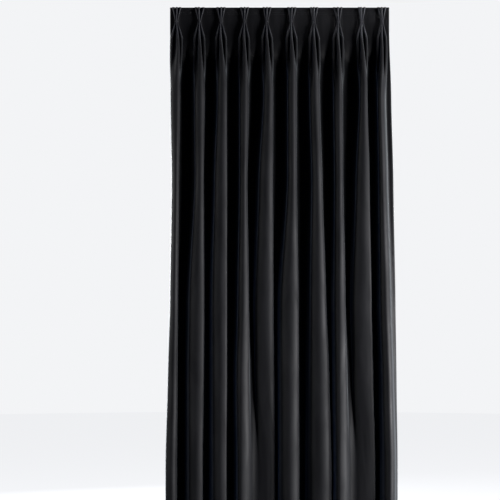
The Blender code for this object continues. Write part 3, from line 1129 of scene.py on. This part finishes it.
def select_parts(piece: Piece, part: Part, wanted: Callable[[bmesh.types.BMFace | bmesh.types.BMEdge], bool]) -> None:
    """Selects, in edit mode, just the faces or the edges that a test picks.

    Args:
        piece: The object in edit mode.
        part: What is selected.
        wanted: The test.
    """
    bpy.ops.mesh.select_mode(type=part.name)
    bpy.ops.mesh.select_all(action="DESELECT")
    form = bmesh.from_edit_mesh(piece.data)
    for item in getattr(form, part.value):
        item.select_set(wanted(item))
    bmesh.update_edit_mesh(piece.data)


@dataclass(frozen=True)
class Stitch:
    """One stitch of spun thread along X, whose ends dive into the cloth on its +Y side and grow thin there.

    Its slant is in degrees. The bends are cuts across its sides, which let it follow a curved seam.
    """

    length: float
    radius: float
    dive: float = 0.0006
    slant: float = 0.0
    sides: int = 6
    bends: int = 2
    end_share: float = 0.20
    end_size: float = 0.45
    # How nearly a face points along X, or an edge is as long as the stitch's middle, to be the one looked for.
    nearly: float = 0.9

    def model(self) -> Piece:
        """Models the stitch: a cylinder with its ends drawn out and down, and its sides cut so that it can bend.

        Returns:
            The stitch, with its middle at the origin.
        """
        middle = self.length * (1.0 - 2.0 * self.end_share)
        bpy.ops.object.select_all(action="DESELECT")
        bpy.ops.mesh.primitive_cylinder_add(
            vertices=self.sides, radius=self.radius, depth=middle, rotation=(0.0, math.radians(90), 0.0),
        )
        stitch = bpy.context.object
        bpy.ops.object.transform_apply(location=False, rotation=True, scale=False)
        bpy.ops.object.mode_set(mode="EDIT")
        for way in (-1.0, 1.0):
            select_parts(stitch, Part.FACE, lambda face: face.normal.x * way > self.nearly)
            out = way * self.end_share * self.length
            bpy.ops.mesh.extrude_region_move(TRANSFORM_OT_translate={"value": (out, self.dive, 0.0)})
            bpy.ops.transform.resize(
                value=(1.0, self.end_size, self.end_size), center_override=(0.5 * way * self.length, self.dive, 0.0),
            )
        select_parts(stitch, Part.EDGE, lambda edge: edge.calc_length() > self.nearly * middle)
        bpy.ops.mesh.subdivide(number_cuts=self.bends)
        bpy.ops.mesh.select_all(action="SELECT")
        bpy.ops.transform.rotate(value=math.radians(self.slant), orient_axis="Y", center_override=(0.0, 0.0, 0.0))
        bpy.ops.object.mode_set(mode="OBJECT")
        bpy.ops.object.shade_smooth()
        return stitch

    def row_along(self, path: np.ndarray, pitch: float) -> Piece:
        """Models a row of stitches that follows a path: one stitch, repeated and then bent to the path.

        Args:
            path: Points in space, level with each other, from the viewer's left to right.
            pitch: From one stitch to the next.

        Returns:
            The row as one object.
        """
        length = float(np.linalg.norm(np.diff(path, axis=0), axis=1).sum())
        row = self.model()
        select_only(row)
        row.location = (pitch, 0.0, 0.0)
        bpy.ops.object.transform_apply(location=True, rotation=False, scale=False)
        curve = bpy.data.curves.new("seam_line", "CURVE")
        curve.dimensions = "3D"
        curve.twist_mode = "Z_UP"
        line = curve.splines.new("POLY")
        line.points.add(len(path) - 1)
        line.points.foreach_set("co", np.column_stack([path, np.ones(len(path))]).astype(np.float32).reshape(-1))
        guide = added("seam_line", curve)
        repeat = row.modifiers.new("repeat", "ARRAY")
        repeat.use_relative_offset = False
        repeat.use_constant_offset = True
        repeat.constant_offset_displace = (pitch, 0.0, 0.0)
        repeat.count = int(length / pitch) - 1
        follow = row.modifiers.new("follow", "CURVE")
        follow.object = guide
        follow.deform_axis = "POS_X"
        for modifier in ("repeat", "follow"):
            bpy.ops.object.modifier_apply(modifier=modifier)
        bpy.data.objects.remove(guide)
        bpy.data.curves.remove(curve)
        return row

    def set_at(self, places: Sequence[Matrix]) -> Piece:
        """Models one stitch, copies it to each place, and joins the copies.

        Args:
            places: Where each stitch lies and how it is turned.

        Returns:
            The stitches as one object.
        """
        first = self.model()
        copies = [first] + [added(first.name, first.data.copy()) for _ in places[1:]]
        for copy, place in zip(copies, places):
            copy.matrix_world = place
        return joined(copies)


def joined(parts: Sequence[Piece]) -> Piece:
    """Joins objects into the first of them, and puts its place into its mesh.

    Args:
        parts: The objects.

    Returns:
        The first of them.
    """
    select_only(parts[0])
    for part in parts:
        part.select_set(True)
    bpy.ops.object.join()
    bpy.ops.object.transform_apply(location=True, rotation=True, scale=True)
    return parts[0]


def lying(place: np.ndarray, along: np.ndarray, away: np.ndarray) -> Matrix:
    """The place and turn of a stitch.

    Args:
        place: Its middle.
        along: The direction of the thread.
        away: The direction square to that, out of the cloth.

    Returns:
        The matrix that moves a stitch from the origin to there.
    """
    x_axis, y_axis = Vector(along).normalized(), -Vector(away).normalized()
    turn = Matrix((x_axis, y_axis, x_axis.cross(y_axis))).transposed().to_4x4()
    return Matrix.Translation(Vector(place)) @ turn


@dataclass
class HeadingStitching:
    """Three rows of lockstitch along the heading, and the bar tacks that hold each pleat at its pinch."""

    panel: VelvetPanel
    seam_stitch: Stitch = Stitch(length=0.0040, radius=0.00030)
    seam_pitch: float = 0.0052
    proud: float = 0.00015
    tack_stitch: Stitch = Stitch(length=0.0046, radius=0.00045)
    tack_stitches: int = 5
    tack_pitch: float = 0.0016
    tack_start: float = 0.38

    def seam(self, drop: float) -> Piece:
        """Models one row of stitches right across the cloth, at one drop."""
        away = self.panel.half_thickness(drop) + self.proud
        return self.seam_stitch.row_along(beside(self.panel.hung.section(drop), away, drop), self.seam_pitch)

    def tack_places(self, row: Pleat) -> list[Matrix]:
        """Places for the upright stitches of a pleat's two bar tacks, one on each cheek of the pinch.

        Args:
            row: The pleat.

        Returns:
            Where each stitch lies and how it is turned.
        """
        hung = self.panel.hung
        points = hung.pleat_plan(row, hung.pinch_drop)
        places = []
        for root, front, way in ((points[0], points[1], -1.0), (points[-1], points[-2], 1.0)):
            reach = np.linalg.norm(front - root)
            along = (front - root) / reach
            away = np.array([way, 0.0]) * (0.5 * hung.cloth + self.proud)
            for i in range(self.tack_stitches):
                plan = root + along * (self.tack_start * reach + i * self.tack_pitch) + away
                places.append(lying((*plan, -hung.pinch_drop), (0.0, 0.0, -1.0), (way, 0.0, 0.0)))
        return places

    def build(self, thread: Material) -> list[Piece]:
        """Makes the seams as one piece and the tacks as another.

        Args:
            thread: The sewing thread.

        Returns:
            The seams and the tacks.
        """
        seams = joined([self.seam(drop) for drop in self.panel.seam_drops])
        tacks = self.tack_stitch.set_at([place for row in PLEATS for place in self.tack_places(row)])
        return [dressed(seams, "heading_seams", thread), dressed(tacks, "pleat_tacks", thread)]


@dataclass
class HemStitching:
    """Slanting blind stitches that hold the heading, the side hems and the bottom hem to the back of the cloth."""

    panel: VelvetPanel
    stitch: Stitch = Stitch(length=0.0045, radius=0.00035, slant=40.0)
    pitch: float = 0.0120
    proud: float = 0.0002
    end_gap: float = 0.010

    def lift(self, drop: float) -> float:
        """How far the stitches lie behind the middle of the cloth: half-way up the step of the turned cloth."""
        return self.panel.half_thickness(drop) + self.proud + 0.5 * self.panel.hem_lift

    def across(self, drop: float) -> Piece:
        """Models a row across the back at one drop, where the turned cloth ends."""
        stitch = replace(self.stitch, dive=-self.stitch.dive)
        return stitch.row_along(beside(self.panel.hung.section(drop), -self.lift(drop), drop), self.pitch)

    def down_places(self, mark: float) -> list[Matrix]:
        """Places for the stitches down the back along a side hem.

        Args:
            mark: The place along the flat cloth.

        Returns:
            Where each stitch lies and how it is turned.
        """
        hung = self.panel.hung
        column = int(np.argmin(np.abs(hung.marks - mark)))
        first, last = self.panel.heading_turn + self.end_gap, hung.drop - self.panel.bottom_hem - self.end_gap
        places = []
        for drop in np.arange(first, last, self.pitch):
            line = hung.section(drop)
            away = outward(line[column - 1:column + 2])[1]
            plan = line[column] - away * self.lift(drop)
            places.append(lying((*plan, -drop), (0.0, 0.0, -1.0), (-away[0], -away[1], 0.0)))
        return places

    def build(self, thread: Material) -> Piece:
        """Makes all the hem stitches as one piece.

        Args:
            thread: The sewing thread.

        Returns:
            The piece.
        """
        panel, hung = self.panel, self.panel.hung
        rows = [self.across(drop) for drop in (panel.heading_turn, hung.drop - panel.bottom_hem)]
        sides = (panel.side_hem, hung.flat_width - panel.side_hem)
        rows.append(self.stitch.set_at([place for mark in sides for place in self.down_places(mark)]))
        return dressed(joined(rows), "hem_stitches", thread)


# ------------------------------------------------------------
# Studio
# ------------------------------------------------------------


@dataclass(frozen=True)
class Lamp:
    """One soft light: its place, what it points at, its width and height, its watts and its spread in degrees."""

    name: str
    place: Three
    aim: Three
    size: Span
    power: float
    spread: float = 180.0

    def build(self) -> None:
        """Adds the light, which the camera doesn't see."""
        light = bpy.data.lights.new(self.name, "AREA")
        light.shape = "RECTANGLE"
        light.size, light.size_y = self.size
        light.spread = math.radians(self.spread)
        light.energy = self.power
        lamp = added(self.name, light)
        lamp.location = self.place
        lamp.rotation_euler = (Vector(self.aim) - Vector(self.place)).to_track_quat("-Z", "Y").to_euler()
        lamp.visible_camera = False


# The main lights skim the folds from the right. The others are weak, and the last one is for the back.
LAMPS: tuple[Lamp, ...] = (
    Lamp("key_light", (2.65, -2.05, -1.50), (0.0, 0.0, -1.2), (1.6, 1.6), 380.0),
    Lamp("side_light", (3.30, -0.50, -1.80), (0.0, 0.0, -1.2), (1.0, 1.0), 560.0),
    Lamp("left_light", (-2.6, 0.10, -0.7), (-0.5, 0.0, -1.0), (1.2, 1.2), 120.0),
    Lamp("fill_light", (-2.4, -1.5, -1.3), (0.0, 0.0, -1.2), (1.6, 1.6), 32.0),
    Lamp("heading_light", (0.38, -0.90, 0.03), (0.30, 0.0, -0.060), (0.55, 0.05), 0.072, spread=14.0),
    Lamp("back_light", (-1.2, 2.8, -1.0), (0.0, 0.0, -1.2), (0.9, 0.9), 150.0),
)


@dataclass
class Studio:
    """A pale floor and surround, a dim blue sky, soft lights and a long lens square to the curtain."""

    view_width: float = 2.283
    look_at: Three = (-0.135, 0.0, -1.107)
    distance: float = 10.0
    far: float = 60.0
    sensor: float = 36.0
    floor_gap: float = 0.010
    floor_radius: float = 9.0
    floor_sides: int = 96
    surround: str = "F3F4F6"
    sky: str = "6E9CFF"
    sky_strength: float = 0.045

    def build_floor(self, drop: float) -> None:
        """Adds a round floor just under the hem. It sends no light back up into the folds.

        Args:
            drop: The curtain's drop.
        """
        bpy.ops.object.select_all(action="DESELECT")
        bpy.ops.mesh.primitive_circle_add(
            vertices=self.floor_sides, radius=self.floor_radius, fill_type="NGON",
            location=(0.0, 0.0, -drop - self.floor_gap),
        )
        bpy.ops.object.transform_apply(location=True, rotation=False, scale=False)
        floor = bpy.context.object
        floor.name = "studio_floor"
        floor.data.materials.append(LitAcrylicFloor().material())
        floor.visible_diffuse = False
        floor.visible_glossy = False

    def build_sky(self) -> None:
        """Adds a dim blue sky that lights the cloth, and a plain pale surround that lights nothing."""
        world = bpy.data.worlds.new("soft_sky")
        world.use_nodes = True
        tree = world.node_tree
        sky = fill_inputs(tree, tree.nodes["Background"], {
            "Color": linear(self.sky), "Strength": self.sky_strength,
        })
        surround = add_node(tree, "ShaderNodeBackground", inputs={"Color": linear(self.surround)})
        ray = add_node(tree, "ShaderNodeLightPath")
        both = add_node(tree, "ShaderNodeMixShader", inputs={
            0: ray.outputs["Is Camera Ray"], 1: sky, 2: surround,
        })
        tree.links.new(both.outputs["Shader"], tree.nodes["World Output"].inputs["Surface"])
        bpy.context.scene.world = world

    def build_camera(self) -> None:
        """Adds the camera, square to the curtain and far enough away that its upright lines stay upright."""
        lens = bpy.data.cameras.new("curtain_camera")
        lens.sensor_width = self.sensor
        lens.lens = self.sensor * self.distance / self.view_width
        lens.clip_end = self.far
        lens.dof.use_dof = False
        camera = added("curtain_camera", lens)
        x, y, z = self.look_at
        camera.location = (x, y - self.distance, z)
        camera.rotation_euler = (math.radians(90), 0.0, 0.0)
        bpy.context.scene.camera = camera

    def build(self, drop: float) -> None:
        """Adds the floor, the lights, the sky and the camera, and shows colours as they are.

        Args:
            drop: The curtain's drop.
        """
        self.build_floor(drop)
        for lamp in LAMPS:
            lamp.build()
        self.build_sky()
        self.build_camera()
        bpy.context.scene.view_settings.view_transform = "Standard"


def main() -> None:
    """Builds the curtain's pieces in order."""
    logging.basicConfig(level=logging.INFO, format="%(message)s")
    hung = HungCloth()
    studio = Studio()
    studio.build(hung.drop)
    panel = VelvetPanel(hung)
    thread = PolyesterThread().material()
    cloth = panel.build(CottonVelvetPile().material(), WovenVelvetBack().material())
    sewing = HeadingStitching(panel).build(thread) + [HemStitching(panel).build(thread)]
    log.info("flat cloth %.3f m wide", hung.flat_width)


if __name__ == "__main__":
    main()
